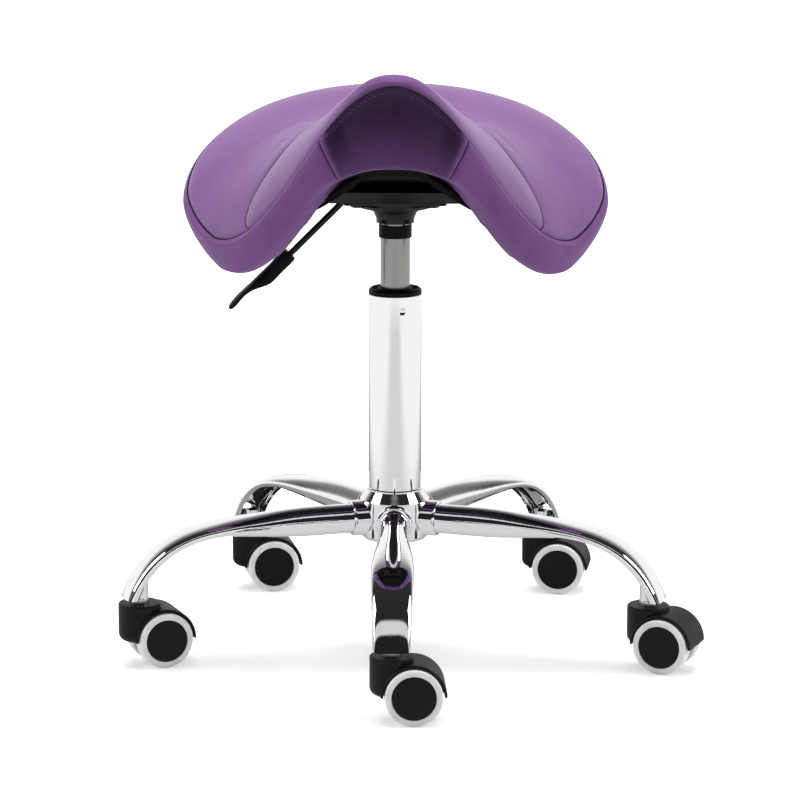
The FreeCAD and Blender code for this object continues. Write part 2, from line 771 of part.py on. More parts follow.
def seat_under(y, x):
    """Height of the seat's underside over (x, y), before the tail is rounded."""
    shape = seat_shape(y)
    reach = under_half(y)
    return shape["under"] - (shape["under"] - shape["low"]) * min(1.0, abs(x) / reach) ** under_power


def under_half(y):
    """Half width of the underside at y, inside the turned-in edge."""
    shape = seat_shape(y)
    return max(shape["half"] - shape["tuck"] - under_lip, shape["half"] * under_least)


def seat_section(y):
    """Closed section across the seat at y, from the crest down the +X side and back."""
    shape = seat_shape(y)
    half, seam, low = shape["half"], shape["seam"], shape["low"]
    edge = half - shape["tuck"]
    inner = under_half(y)
    lip = (edge - inner) * 0.4
    side = []
    for t in top_steps:
        side.append((half * t, shape["crest"] - (shape["crest"] - seam) * t ** shape["power"]))
    side.append((half + band_bulge - shape["tuck"] * 0.35, seam - (seam - low) * 0.5))
    side.append((edge, low))
    side.append((edge - lip, low - under_lip_drop))
    for t in under_steps[::-1]:
        side.append((inner * t, seat_under(y, inner * t)))
    loop = [(0, shape["crest"])] + side + [(0, shape["under"])] + [(-x, z) for x, z in reversed(side)]
    return closed_wire([V(x, y, rounded_tail(y, z)) for x, z in loop])


def seat_stations():
    """Where along the seat its cross-sections stand, closer together at its ends."""
    nose = seat_front + nose_cap
    return [nose + step for step in nose_steps] + seat_steps + [seat_back - tail_cap]


def seat_cushion():
    """Foam and cover as one closed saddle, lofted through cross-sections from nose to tail."""
    return Part.makeLoft([seat_section(y) for y in seat_stations()], True, False)


def pan_section(y):
    """Thin arch just under the cushion, as a wire of two curves and two short sides."""
    reach = under_half(y)
    side = [t for t in under_steps if t < pan_reach]
    steps = [-t for t in reversed(side)] + [0.0] + side
    top = [V(reach * t, y, rounded_tail(y, seat_under(y, reach * t)) - soft_gap) for t in steps]
    low = [V(p.x * pan_draft, p.y, p.z - pan_thickness) for p in top]
    return Part.Wire([open_edge(top), Part.makeLine(top[-1], low[-1]), open_edge(low[::-1]),
                      Part.makeLine(low[0], top[0])])


def seat_pan():
    """Moulded shell under the cushion with the raked box that the plate bolts to."""
    ys = [y for y in seat_stations() if pan_front_y < y < pan_back_y]
    shell = Part.makeLoft([pan_section(y) for y in ys], True, False)
    front_y = pan_box_front_y - pan_rake
    back_y = pan_box_back_y + pan_tail_rake
    outline = [V(-pan_box_half_x, pan_box_front_y, plate_top), V(-pan_box_half_x, pan_box_back_y, plate_top)]
    for y in [back_y] + pan_box_steps + [front_y]:
        outline.append(V(-pan_box_half_x, y, seat_under(y, pan_box_half_x) - soft_gap - pan_box_bite))
    outline.append(outline[0])
    box = Part.Face(Part.makePolygon(outline)).extrude(V(2 * pan_box_half_x, 0, 0))
    body = shell.fuse(box)
    room_x = -pan_box_half_x - 30
    body = body.cut(Part.makeBox(lever_room_x - room_x, 2 * lever_room_half, lever_room,
                                 V(room_x, -lever_room_half, plate_top)))
    for x in (-bolt_x, bolt_x):
        for y in (-bolt_y, bolt_y):
            body = body.cut(Part.makeCylinder(bolt_r + fixed, bolt_length, V(x, y, plate_bottom)))
    return body


def save(name, shape):
    """Write one named piece."""
    shape.exportStep("parts/" + name + ".step")
    print(name, round(shape.Volume), len(shape.Solids), shape.isValid())


os.makedirs("parts", exist_ok=True)

save("seat_cushion", seat_cushion())
save("seat_pan", seat_pan())
save("mechanism_plate", mechanism_plate())
save("lift_socket", lift_socket())
save("plate_bolts", plate_bolts())
save("lever_pivot_pin", pivot_pin())
save("lever_rod", lever_rod())
save("lever_handle", lever_handle())
save("valve_pin", valve_pin())
save("cylinder_shroud", ring(cylinder_r + running + shroud_wall, cylinder_r + running, shroud_bottom,
                             shroud_bottom + shroud_height))
save("pressure_cylinder", pressure_cylinder())
save("cylinder_gland", ring(cylinder_bore_r - fixed, rod_r + running, cylinder_bottom, cylinder_bottom + gland_height))
save("piston_rod", piston_rod())
save("piston", ring(cylinder_bore_r - running, piston_spigot_r + fixed, piston_z, piston_z + piston_height))
save("rubber_buffer", ring(buffer_r, rod_r + 4 * running, buffer_z, buffer_z + buffer_height))
save("upper_race", ring(race_r, spigot_r + running, upper_race_z, collar_z))
save("lower_race", ring(race_r, spigot_r + spigot_hole_gap, race_z, race_z + race_height))
save("bearing_balls", bearing_balls())
save("retaining_clip", retaining_clip())
save("outer_tube", outer_tube())
save("guide_bush", ring(tube_bore_r - running, cylinder_r + running, bush_top - bush_length, bush_top))
save("ring_cap", ring_cap())
save("base_hub", base_hub())

one_leg = leg()
for place, angle in leg_angle.items():
    turned = one_leg.copy()
    turned.rotate(V(0, 0, 0), UP, angle)
    save("leg_" + place, turned)
save("caster_stems", Part.makeCompound([place_caster(caster_stem(), place) for place in caster_yaw]))
save("grip_rings", Part.makeCompound([place_caster(grip_ring(), place) for place in caster_yaw]))

housing = caster_housing()
axle = caster_axle()
core = wheel_core()
tyre = wheel_tyre()
for place in caster_yaw:
    save("caster_housing_" + place, place_caster(housing, place))
    save("caster_axle_" + place, place_caster(axle, place))
    for side, number in (("a", -1), ("b", 1)):
        save("wheel_core_" + place + "_" + side, place_caster(on_axle(core, number), place))
        save("wheel_tyre_" + place + "_" + side, place_caster(on_axle(tyre, number), place))
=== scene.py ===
# %% [markdown]
# # Saddle stool
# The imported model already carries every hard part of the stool, from the wheels to the pan.
# This scene adds what padding and light add: a stitched leather cover, its topstitching, and a
# finish for every part. All measures are in millimetres until a mesh is made, because the
# drawings were. Only the room round the stool is set out in metres.

# %%
# Load the frame
import json
import math

import bpy
import numpy as np
from mathutils import Matrix, Vector


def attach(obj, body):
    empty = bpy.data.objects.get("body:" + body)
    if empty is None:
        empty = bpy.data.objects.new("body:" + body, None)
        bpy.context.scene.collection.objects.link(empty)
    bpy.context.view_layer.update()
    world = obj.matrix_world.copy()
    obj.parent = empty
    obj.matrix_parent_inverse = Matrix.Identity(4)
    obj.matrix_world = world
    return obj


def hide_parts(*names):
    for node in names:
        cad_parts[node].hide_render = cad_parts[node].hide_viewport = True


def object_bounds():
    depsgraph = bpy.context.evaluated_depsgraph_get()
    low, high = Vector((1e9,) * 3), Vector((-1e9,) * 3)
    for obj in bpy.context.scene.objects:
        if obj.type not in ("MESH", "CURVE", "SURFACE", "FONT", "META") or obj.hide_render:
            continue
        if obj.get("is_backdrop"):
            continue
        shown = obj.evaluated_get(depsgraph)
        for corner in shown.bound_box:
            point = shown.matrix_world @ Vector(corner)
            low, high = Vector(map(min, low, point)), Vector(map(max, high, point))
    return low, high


MM = 0.001
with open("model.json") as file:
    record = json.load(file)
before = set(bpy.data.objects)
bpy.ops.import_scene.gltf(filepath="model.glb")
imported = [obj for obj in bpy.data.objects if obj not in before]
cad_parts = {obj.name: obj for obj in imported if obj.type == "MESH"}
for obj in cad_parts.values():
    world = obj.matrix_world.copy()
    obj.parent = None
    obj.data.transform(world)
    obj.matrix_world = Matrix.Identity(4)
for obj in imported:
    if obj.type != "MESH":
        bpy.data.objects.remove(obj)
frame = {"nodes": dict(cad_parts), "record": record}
nodes = frame["nodes"]
loaded_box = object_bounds()
scene = bpy.context.scene
print(len(nodes), "parts are loaded")

# %% [markdown]
# ## Camera
# A catalogue view is taken with a long lens from far off, so that the near and the far casters
# come out at nearly the same size. A Track To constraint could aim the camera, but it leaves no
# room for a small roll. So the camera's three axes are worked out from its yaw, its pitch and
# its roll, and they become the columns of its matrix.

# %%
# Camera
camera_place = (31.66, -3153.07, 902.10)
# the angles are in radians
camera_yaw = -0.00852857
camera_pitch = 0.207673
camera_roll = 0.00218984
camera_lens = 153.3
sensor_width = 36.0
sight_limit = 100000.0

forward = np.array([math.sin(camera_yaw) * math.cos(camera_pitch),
                    math.cos(camera_yaw) * math.cos(camera_pitch),
                    -math.sin(camera_pitch)])
level_right = np.array([math.cos(camera_yaw), -math.sin(camera_yaw), 0.0])
level_up = np.cross(level_right, forward)
right = math.cos(camera_roll) * level_right + math.sin(camera_roll) * level_up
up = math.cos(camera_roll) * level_up - math.sin(camera_roll) * level_right

camera_data = bpy.data.cameras.new("camera")
camera_data.lens = camera_lens
camera_data.sensor_width = sensor_width
camera_data.clip_end = sight_limit * MM
camera = bpy.data.objects.new("camera", camera_data)
scene.collection.objects.link(camera)
turn = Matrix([right, up, -forward]).transposed().to_4x4()
camera.matrix_world = Matrix.Translation(Vector(camera_place) * MM) @ turn
scene.camera = camera
scene.view_settings.view_transform = "Standard"
print(f"the camera stands {np.linalg.norm(camera_place):.0f} mm from the floor's origin")

# %% [markdown]
# ## Writing finishes as sums
# A finish is easiest to read as arithmetic. Its nodes could be made and linked one by one, but
# the formula would be lost among the links. `Value` wraps the output of a shader node and gives
# it plus, minus, times and divide. `Finish` holds one material and its main shader.

# %%
# Shader arithmetic


class Value:
    """The output of a shader node, with arithmetic."""

    def __init__(self, finish, socket):
        self.finish = finish
        self.socket = socket

    def maths(self, operation, other=None, swapped=False):
        """One Math node between this value and another."""
        pair = [other, self] if swapped else [self, other]
        inputs = {i: v for i, v in enumerate(pair) if v is not None}
        return self.finish.add("ShaderNodeMath", inputs, operation=operation)

    def __add__(self, other):
        return self.maths("ADD", other)

    def __radd__(self, other):
        return self.maths("ADD", other, True)

    def __sub__(self, other):
        return self.maths("SUBTRACT", other)

    def __rsub__(self, other):
        return self.maths("SUBTRACT", other, True)

    def __mul__(self, other):
        return self.maths("MULTIPLY", other)

    def __rmul__(self, other):
        return self.maths("MULTIPLY", other, True)

    def __truediv__(self, other):
        return self.maths("DIVIDE", other)

    def __rtruediv__(self, other):
        return self.maths("DIVIDE", other, True)

    def __abs__(self):
        return self.maths("ABSOLUTE")

    def between(self, low, high):
        """0 at low, 1 at high and held outside, with a smooth step."""
        inputs = {"Value": self, "From Min": low, "From Max": high}
        return self.finish.add("ShaderNodeMapRange", inputs, interpolation_type="SMOOTHSTEP")


# %%
# One finish


def linear(code):
    """A colour code such as #7A4A94 as linear red, green and blue."""
    parts = [int(code[i:i + 2], 16) / 255 for i in (1, 3, 5)]
    return [c / 12.92 if c <= 0.04045 else ((c + 0.055) / 1.055) ** 2.4 for c in parts]


def grey(level):
    """A grey of this linear level, as a colour socket takes it."""
    return (level, level, level, 1.0)


class Finish:
    """One material with a Principled shader. Constants go on its sockets, values are linked."""

    def __init__(self, name, **sockets):
        self.material = bpy.data.materials.new(name)
        self.material.use_nodes = True
        self.tree = self.material.node_tree
        self.shader = next(n for n in self.tree.nodes if n.type == "BSDF_PRINCIPLED")
        for socket, value in sockets.items():
            self.feed(self.shader.inputs[socket.replace("_", " ")], value)

    def feed(self, socket, value):
        """Link a value to a socket, or write a constant on it."""
        if isinstance(value, Value):
            self.tree.links.new(value.socket, socket)
        elif isinstance(value, str):
            socket.default_value = (*linear(value), 1.0)
        else:
            socket.default_value = value

    def add(self, kind, inputs=None, output=0, stops=(), **settings):
        """Any other node. Its settings and a ramp's stops are set first, then its inputs."""
        node = self.tree.nodes.new(kind)
        for name, value in settings.items():
            setattr(node, name, value)
        if stops:
            elements = node.color_ramp.elements
            elements.remove(elements[-1])
            elements[0].position, elements[0].color = stops[0]
            for position, colour in stops[1:]:
                elements.new(position).color = colour
        for name, value in (inputs or {}).items():
            self.feed(node.inputs[name], value)
        return None if output is None else Value(self, node.outputs[output])

    def place(self):
        """Coordinates fixed to the piece, in metres."""
        return self.add("ShaderNodeTexCoord", output="Object")

    def noise(self, scale, detail=3.0, roughness=0.5, place=None):
        """Cloudy noise between 0 and 1."""
        inputs = {"Vector": place or self.place(), "Scale": scale, "Detail": detail, "Roughness": roughness}
        return self.add("ShaderNodeTexNoise", inputs)

    def stretched(self, x, y, z):
        """Coordinates scaled along each axis, for grain that runs one way."""
        return self.add("ShaderNodeMapping", {"Vector": self.place(), "Scale": (x, y, z)})

    def attribute(self, name):
        """A number stored at each point of the mesh."""
        return self.add("ShaderNodeAttribute", output="Fac", attribute_name=name)

    def blend(self, share, first, second):
        """Two colours mixed by a value. A Mix node keeps its colour sockets at 6, 7 and 2."""
        return self.add("ShaderNodeMix", {0: share, 6: first, 7: second}, 2, data_type="RGBA")

    def paint(self, value):
        """The shader's colour."""
        self.feed(self.shader.inputs["Base Color"], value)

    def gloss(self, value):
        """The shader's roughness."""
        self.feed(self.shader.inputs["Roughness"], value)

    def bump(self, height, distance, strength=1.0):
        """Fine relief: a height from 0 to 1 stands for this distance in millimetres."""
        inputs = {"Height": height, "Distance": distance * MM, "Strength": strength}
        self.feed(self.shader.inputs["Normal"], self.add("ShaderNodeBump", inputs))


# %% [markdown]
# ## Metals
# Chrome plate is a nearly perfect mirror, so its look comes from what stands around it, and the
# finish itself needs no more than a trace of polishing haze. The lift cylinder is drawn steel,
# and its grain runs along the tube. An anisotropic shader could show that, but noise stretched
# along the tube does it in the colour and the roughness, which other programs read too.

# %%
# Metals


def chrome_plate():
    """Bright nickel-chrome with a trace of polishing haze."""
    f = Finish("chrome plate", Metallic=1.0, Base_Color="#F2F3F5")
    haze = f.noise(38.0, detail=4.0)
    f.gloss(0.035 + 0.03 * haze.between(0.45, 0.75))
    f.bump(f.noise(20.0, detail=1.0), 0.05, 0.25)
    return f.material


def satin_steel():
    """Ground steel of the lift cylinder, with grain along the tube."""
    f = Finish("satin steel", Metallic=1.0)
    grain = f.noise(1.0, detail=4.0, roughness=0.6, place=f.stretched(900.0, 900.0, 14.0))
    f.paint(f.blend(grain, "#8E8E8C", "#9C9A98"))
    f.gloss(0.2 + 0.05 * grain)
    f.bump(grain, 0.01, 0.2)
    return f.material


def zinc_steel():
    """Bright zinc on small turned and pressed parts."""
    f = Finish("zinc steel", Metallic=1.0)
    cloud = f.noise(160.0)
    f.paint(f.blend(cloud, "#C9CBCE", "#E2E3E4"))
    f.gloss(0.16 + 0.12 * cloud)
    return f.material


def brass_bush():
    """Bare brass of the gas spring's piston."""
    f = Finish("brass bush", Metallic=1.0)
    tarnish = f.noise(90.0, detail=4.0)
    f.paint(f.blend(tarnish, "#B08D45", "#8F7238"))
    f.gloss(0.28 + 0.1 * tarnish)
    return f.material


# %% [markdown]
# ## Plastics, enamel and rubber
# The casters and the moulded parts carry the fine spark-eroded grain of their moulds. It could
# be modelled, but it is finer than any mesh should be, so it is noise in the relief. Their
# reflection is turned down, because a rough mould leaves black plastic deep black. The plate
# and the lever's rod are enamelled: smoother, with the slight orange peel of sprayed paint.

# %%
# Plastics, enamel and rubber


def grained(name, colour, worn, roughness, grain_scale, relief, specular=0.22):
    """A moulded plastic with an even fine grain and slightly polished high places."""
    f = Finish(name, Specular_IOR_Level=specular)
    grain = f.noise(grain_scale, detail=2.0)
    wear = f.noise(26.0, detail=4.0)
    f.paint(f.blend(wear.between(0.5, 0.8), colour, worn))
    f.gloss(roughness + 0.12 * (wear - 0.5))
    f.bump(grain, relief, 0.5)
    return f.material


def black_steel():
    """Glossy black enamel of the plate, the socket and the lever's rod."""
    f = Finish("black enamel", Base_Color="#050505", Specular_IOR_Level=0.3)
    peel = f.noise(240.0, detail=2.0)
    f.gloss(0.18 + 0.1 * peel)
    f.bump(peel, 0.03, 0.4)
    return f.material


def grey_tread():
    """Soft light grey polyurethane of the treads, a little dull where it rolls."""
    f = Finish("grey tread")
    dust = f.noise(70.0, detail=5.0, roughness=0.6)
    f.paint(f.blend(dust.between(0.35, 0.75), "#EFF0F2", "#DEDFE1"))
    f.gloss(0.5 + 0.2 * dust)
    f.bump(f.noise(500.0, detail=2.0), 0.05, 0.3)
    return f.material


# %% [markdown]
# ## A finish for every part
# The frame's record names a material slot for each part. Giving the finish to the slot that a
# part already has keeps its name, where a new slot would break the link with the record.

# %%
# A finish for every part
finishes = {
    "chrome_plate": chrome_plate(),
    "satin_steel": satin_steel(),
    "zinc_steel": zinc_steel(),
    "brass_bush": brass_bush(),
    "black_moulding": grained("black moulding", "#080808", "#0F0F10", 0.5, 900.0, 0.08, 0.12),
    "black_nylon": grained("black nylon", "#090909", "#111112", 0.46, 700.0, 0.1),
    "black_steel": black_steel(),
    "black_rubber": grained("black rubber", "#0D0D0D", "#171717", 0.75, 400.0, 0.1),
    "white_nylon": grained("white nylon", "#E4E2DC", "#DAD7D0", 0.45, 500.0, 0.05),
    "grey_tread": grey_tread(),
}
slot_of = {part["node"]: part["material_slot"] for part in frame["record"]["subparts"]}
finished = [name for name in nodes if slot_of[name] in finishes]
for name in finished:
    for slot in nodes[name].material_slots:
        slot.material = finishes[slot_of[name]]
print(len(finished), "hard parts have one of", len(finishes), "finishes")

# %% [markdown]
# ## The saddle's shape
# The seat is foam moulded to a form that has no straight line: it arches over the middle, drops
# far down at the thighs and rises to a narrow pommel. It could be sculpted, but the cover has
# to fit the padding everywhere. So its curves hang on its length: at each place along it, a few
# numbers give the half width, the seam's height, the middle's height and the band's depth.

# %%
# The saddle's measures
seat_front = -172.0
seat_widest_y = 25.0
seat_back = 151.0
seat_half_width = 196.0
nose_half_width = 34.0
nose_roll = 12.0
nose_seam_z = 555.0
low_seam_z = 400.0
low_seam_y = -50.0
tail_seam_z = 520.0
nose_top_z = 567.0
valley_z = 510.0
valley_y = 10.0
tail_top_z = 524.0
nose_outline_power = 20
flank_power = 1.5
flank_round = 0.8
tail_outline_power = 2.2
nose_seam_power = 2.25
tail_seam_power = 1.3
crest_power = 1.3
nose_arch_power = 2.4
tail_arch_power = 2.1
band_height = 22.0
flank_band_extra = 8.0
nose_band_extra = 50.0
tail_band_extra = 10.0
flank_start_y = 80.0
flank_tuck = 10.0
side_tuck = 4.0
nose_band_power = 14
tail_band_power = 3
nose_tuck_power = 8
band_bulge = 4.0
under_lip = 26.0
under_least = 0.45
under_z = 460.0
nose_under_z = 480.0
tail_under_z = 486.0
under_power = 4.4
under_flat_y = 60.0
tail_round_from = 108.0
tail_round_length = 46.0
print(f"the seat is {2 * seat_half_width:.0f} mm wide and {seat_back - seat_front:.0f} mm long")

# %%
# Cross-section at each place


def smooth(value, low, high):
    """0 below low, 1 above high, with a smooth step between."""
    t = np.clip((value - low) / (high - low), 0.0, 1.0)
    return t * t * (3 - 2 * t)


def seat_shape(y):
    """Widths and heights of the seat's cross-section at each y.

    Each curve is a power of the share of the way to the nose or to the tail.
    """
    ahead = np.clip((seat_widest_y - y) / (seat_widest_y - seat_front), 0.0, 1.0)
    behind = np.clip((y - seat_widest_y) / (seat_back - seat_widest_y), 0.0, 1.0)
    flank = (seat_half_width - nose_half_width) * (1 - ahead ** flank_power) ** flank_round
    front_half = nose_half_width * np.sqrt(1 - ahead ** nose_outline_power) + flank
    back_half = seat_half_width * (1 - behind ** tail_outline_power) ** (1 / tail_outline_power)
    half = np.where(y < seat_widest_y, front_half, back_half)
    fall = np.clip((low_seam_y - y) / (low_seam_y - seat_front), 0.0, 1.0)
    to_tail = np.clip((y - low_seam_y) / (seat_back - low_seam_y), 0.0, 1.0)
    seam = low_seam_z + (nose_seam_z - low_seam_z) * fall ** nose_seam_power
    seam = seam + (tail_seam_z - low_seam_z) * to_tail ** tail_seam_power
    climb = np.clip((valley_y - y) / (valley_y - seat_front), 0.0, 1.0)
    crest = valley_z + (nose_top_z - valley_z) * climb ** crest_power
    crest = crest + (tail_top_z - valley_z) * smooth(y, valley_y, tail_round_from)
    short = np.clip(1 - (y - seat_front) / nose_roll, 0.0, 1.0)
    crest = seam + (crest - seam) * np.sqrt(1 - short ** 2)
    on_flank = smooth(-y, -seat_widest_y, flank_start_y)
    band = band_height + flank_band_extra * on_flank + nose_band_extra * ahead ** nose_band_power
    band = band + tail_band_extra * to_tail ** tail_band_power
    tuck = (side_tuck + (flank_tuck - side_tuck) * on_flank) * (1 - ahead ** nose_tuck_power)
    under = under_z + (nose_under_z - under_z) * smooth(-y, under_flat_y, -seat_front)
    under = under + (tail_under_z - under_z) * smooth(y, under_flat_y, seat_back)
    to_back = smooth(y, seat_front / 2, seat_back / 2)
    power = nose_arch_power + (tail_arch_power - nose_arch_power) * to_back
    return {"half": half, "seam": seam, "crest": crest, "band": band, "low": seam - band,
            "tuck": tuck, "under": under, "power": power}


# %%
# Points of the padding


def rounded_tail(y, z):
    """Heights drawn in towards the middle of the padding, which rounds the seat's tail."""
    shape = seat_shape(y)
    middle = (shape["crest"] + shape["under"]) / 2
    past = np.clip((y - tail_round_from) / tail_round_length, 0.0, 1.0)
    return middle + (z - middle) * np.sqrt(1 - past ** 2)


def top_point(share, y):
    """Point of the top at a share of the half width: z = crest - (crest - seam) share^power."""
    shape = seat_shape(y)
    z = shape["crest"] - (shape["crest"] - shape["seam"]) * np.abs(share) ** shape["power"]
    point = np.broadcast_arrays(share * shape["half"], y, rounded_tail(y, z))
    return np.stack(point, axis=-1)


def under_height(x, y):
    """Height of the underside: z = under - (under - low) (x / reach)^power, over the pan."""
    shape = seat_shape(y)
    reach = np.maximum(shape["half"] - shape["tuck"] - under_lip, shape["half"] * under_least)
    share = np.clip(np.abs(x) / np.maximum(reach, 1.0), 0.0, 1.0)
    return rounded_tail(y, shape["under"] - (shape["under"] - shape["low"]) * share ** under_power)


# %% [markdown]
# ## The perimeter seam
# One seam runs right round the seat and joins the top to the side band. It is the line from
# which everything on the cover is measured, so it is worked out once, with evenly spaced
# points. A Bezier curve could be drawn by hand, but it would only come near the padding.

# %%
# The perimeter seam
side_steps = 380
fine_steps = 4000
mirror = np.array([-1.0, 1.0, 1.0])


def along(points, count):
    """The same line with evenly spaced points, by its length run so far."""
    steps = np.linalg.norm(np.diff(points, axis=0), axis=1)
    run = np.concatenate([[0.0], np.cumsum(steps)])
    wanted = np.linspace(0.0, run[-1], count)
    return np.stack([np.interp(wanted, run, column) for column in points.T], axis=1)


def side_edge():
    """The seam down the side with positive x, from the nose to the tail."""
    turn = np.linspace(0.0, math.pi, fine_steps)
    y = seat_front + (seat_back - seat_front) * (1 - np.cos(turn)) / 2
    shape = seat_shape(y)
    return along(np.stack([shape["half"], y, rounded_tail(y, shape["seam"])], axis=1), side_steps)


# the loop starts at the tail and runs anticlockwise seen from above
edge = side_edge()
loop = np.vstack([edge[::-1] * mirror, edge[1:-1]])
loop_count = len(loop)
nose_index = side_steps - 1
seam_length = np.linalg.norm(np.roll(loop, -1, axis=0) - loop, axis=1).sum()
print(f"the perimeter seam is {seam_length:.0f} mm long")

# %% [markdown]
# ## Building a surface
# Each soft piece is a grid of points, worked out as one array. Boxes could be subdivided and
# pulled about instead, but a grid knows where its seams lie. One function makes the mesh,
# another gives the outward direction at every point, so that relief is a plain array too.

# %%
# Building a surface


def outward(grid, closed_rows=False):
    """Unit normals of a grid: the step along its columns crossed with the step down its rows."""
    down = np.gradient(grid, axis=0)
    if closed_rows:
        down = (np.roll(grid, -1, axis=0) - np.roll(grid, 1, axis=0)) / 2
    normal = np.cross(np.gradient(grid, axis=1), down)
    length = np.linalg.norm(normal, axis=-1, keepdims=True)
    return normal / np.maximum(length, 1e-9)


def quads(rows, columns, closed_rows=False):
    """Corner numbers of the faces of a grid, which face the way that outward() points."""
    row = np.arange(rows if closed_rows else rows - 1)[:, None]
    column = np.arange(columns - 1)[None, :]
    here = row * columns + column
    following = (row + 1) % rows * columns + column
    return np.stack([here, here + 1, following + 1, following], axis=-1).reshape(-1, 4)


def make_piece(name, points, faces, material, numbers=None):
    """A smooth-shaded mesh object at the origin, with numbers stored at its points."""
    mesh = bpy.data.meshes.new(name)
    mesh.vertices.add(len(points))
    mesh.vertices.foreach_set("co", (points * MM).astype(np.float32).ravel())
    mesh.loops.add(faces.size)
    mesh.loops.foreach_set("vertex_index", faces.astype(np.int32).ravel())
    mesh.polygons.add(len(faces))
    starts = np.arange(0, faces.size, faces.shape[1], dtype=np.int32)
    mesh.polygons.foreach_set("loop_start", starts)
    mesh.update(calc_edges=True)
    mesh.polygons.foreach_set("use_smooth", np.ones(len(faces), dtype=bool))
    for key, values in (numbers or {}).items():
        layer = mesh.attributes.new(key, "FLOAT", "POINT")
        layer.data.foreach_set("value", values.astype(np.float32).ravel())
    mesh.materials.append(material)
    piece = bpy.data.objects.new(name, mesh)
    scene.collection.objects.link(piece)
    print(name, "has", len(faces), "faces")
    return piece


# %% [markdown]
# ## Leather
# Coated leather has a fine pebble grain and a soft sheen; where two panels meet, the shade in the seam's
# groove is painted on as a dark line.
# The line could be drawn by narrow faces of their own. Here the distance to each seam is stored on the
# mesh, so the line stays sharp however coarse the grid is. The gusset under the pommel is a hollow that
# little light reaches, so shade is painted on its leather, darkest near its top under the rolled edge and
# lighter further down.

# %%
# Leather

# how far from each kind of seam its painted shadow reaches, and how wide it is fully dark
crease_widths = {"thigh": 2.4, "edge": 1.3, "gusset": 1.5}
crease_core = 0.3
# how far inside the gusset its painted shade is full, and between which distances below the seam it fades
shade_margin = 10.0
shade_from = 20.0
shade_to = 78.0


def leather(name, crease_lines, hollow=False):
    """Purple coated leather, with shade painted into the seams' grooves. A crease is 1 near a seam and
    falls to 0 over the seam's width.

    crease_lines names the distances to seams that the mesh holds, in millimetres. With hollow, the sheen
    and the reflection are lower, and shade is painted into the gusset, darkest near its top seam.
    """
    f = Finish(name, Specular_IOR_Level=0.2 if hollow else 0.4, Sheen_Weight=0.1 if hollow else 0.3,
               Sheen_Roughness=0.4, Sheen_Tint="#F6F0F8")
    pebble = f.add("ShaderNodeTexVoronoi", {"Vector": f.place(), "Scale": 520.0}, feature="SMOOTH_F1")
    cloud = f.noise(24.0, detail=4.0, roughness=0.6)
    fine = f.noise(900.0)
    tone = f.blend(cloud.between(0.3, 0.75), "#6A407A", "#734884")
    # painted shade: near each seam the colour darkens towards #1D0A29, and the relief sinks into a groove
    crease = 0.0
    for line in crease_lines:
        near = 1.0 - abs(f.attribute(line)).between(crease_core, crease_widths[line])
        crease = near + crease
    tone = f.blend(crease.between(0.0, 1.0), tone, "#1D0A29")
    # painted shade in the gusset: the colour darkens towards #210B2C, most near the top seam, half as much
    # from 78 mm below it
    if hollow:
        inside = 1.0 - f.attribute("gusset").between(-shade_margin, 0.0)
        depth = 1.0 - f.attribute("edge").between(shade_from, shade_to)
        tone = f.blend(inside * (0.45 + 0.45 * depth), tone, "#210B2C")
    f.paint(tone)
    f.gloss(0.42 + 0.1 * cloud)
    f.bump(pebble * 0.5 + fine * 0.3 - crease * 2.0, 0.22, 0.6)
    return f.material


# %% [markdown]
# ## Seams across the top
# The top is three panels: one over the middle and a lobe at each thigh. The two seams between
# them start at the front edge, run inboard behind the ridge and back over the top. A few points
# in plan say where, a smooth line joins them, and the padding gives their height.

# %%
# Seams across the top
thigh_seam = [(132, -94), (135, -83), (131, -74), (120, -70), (107, -68), (96, -63), (85, -52),
              (70, -36), (52, -14), (34, 16), (24, 60), (22, 140)]
seam_count = 420
span_steps = 40


def smooth_line(points, count):
    """A smooth line through a few points: a Catmull-Rom cubic between each two."""
    points = np.asarray(points, float)
    padded = np.vstack([2 * points[0] - points[1], points, 2 * points[-1] - points[-2]])
    t = np.linspace(0.0, 1.0, span_steps, endpoint=False)[:, None]
    spans = []
    for a, b, c, d in zip(padded, padded[1:], padded[2:], padded[3:]):
        square = 2 * a - 5 * b + 4 * c - d
        cube = 3 * b - a - 3 * c + d
        spans.append(0.5 * (2 * b + (c - a) * t + square * t ** 2 + cube * t ** 3))
    spans.append(points[-1:])
    return along(np.vstack(spans), count)


def on_top(x, y):
    """Points of the top above (x, y)."""
    return top_point(np.clip(x / seat_shape(y)["half"], -1.0, 1.0), y)


seam_right = on_top(*smooth_line(thigh_seam, seam_count).T)
seam_ahead = np.gradient(seam_right, axis=0)
seam_ahead /= np.linalg.norm(seam_ahead, axis=1, keepdims=True)
# level and square to the seam, towards the lobe
lobe_side = np.cross(seam_ahead, [0.0, 0.0, 1.0])
seams = np.vstack([seam_right, seam_right * mirror])
seam_sides = np.vstack([lobe_side, lobe_side * mirror])
print(f"each thigh seam is {np.linalg.norm(np.diff(seam_right, axis=0), axis=1).sum():.0f} mm long")

# %%
# Grid over the top and its distances
column_steps = 241
column_power = 1.35
batch = 4000


def nearest(points, line, side):
    """Distance from each point to a line, with a sign from the side vectors along the line."""
    found = []
    for part in np.array_split(points, max(1, len(points) // batch)):
        gap = part[:, None, :] - line[None, :, :]
        square = np.einsum("ijk,ijk->ij", gap, gap)
        index = square.argmin(axis=1)
        rows = np.arange(len(part))
        sign = np.sign(np.einsum("ij,ij->i", gap[rows, index], side[index]))
        found.append(np.sqrt(square[rows, index]) * np.where(sign == 0, 1, sign))
    return np.concatenate(found)


def top_grid(rows, columns):
    """Grid over the top: evenly spaced rows along the edge, columns closer near the edges."""
    y = np.interp(np.linspace(0, 1, rows), np.linspace(0, 1, side_steps), edge[:, 1])
    even = np.linspace(-1, 1, columns)
    share = np.sign(even) * (1 - (1 - np.abs(even)) ** column_power)
    return top_point(share[None, :], y[:, None])


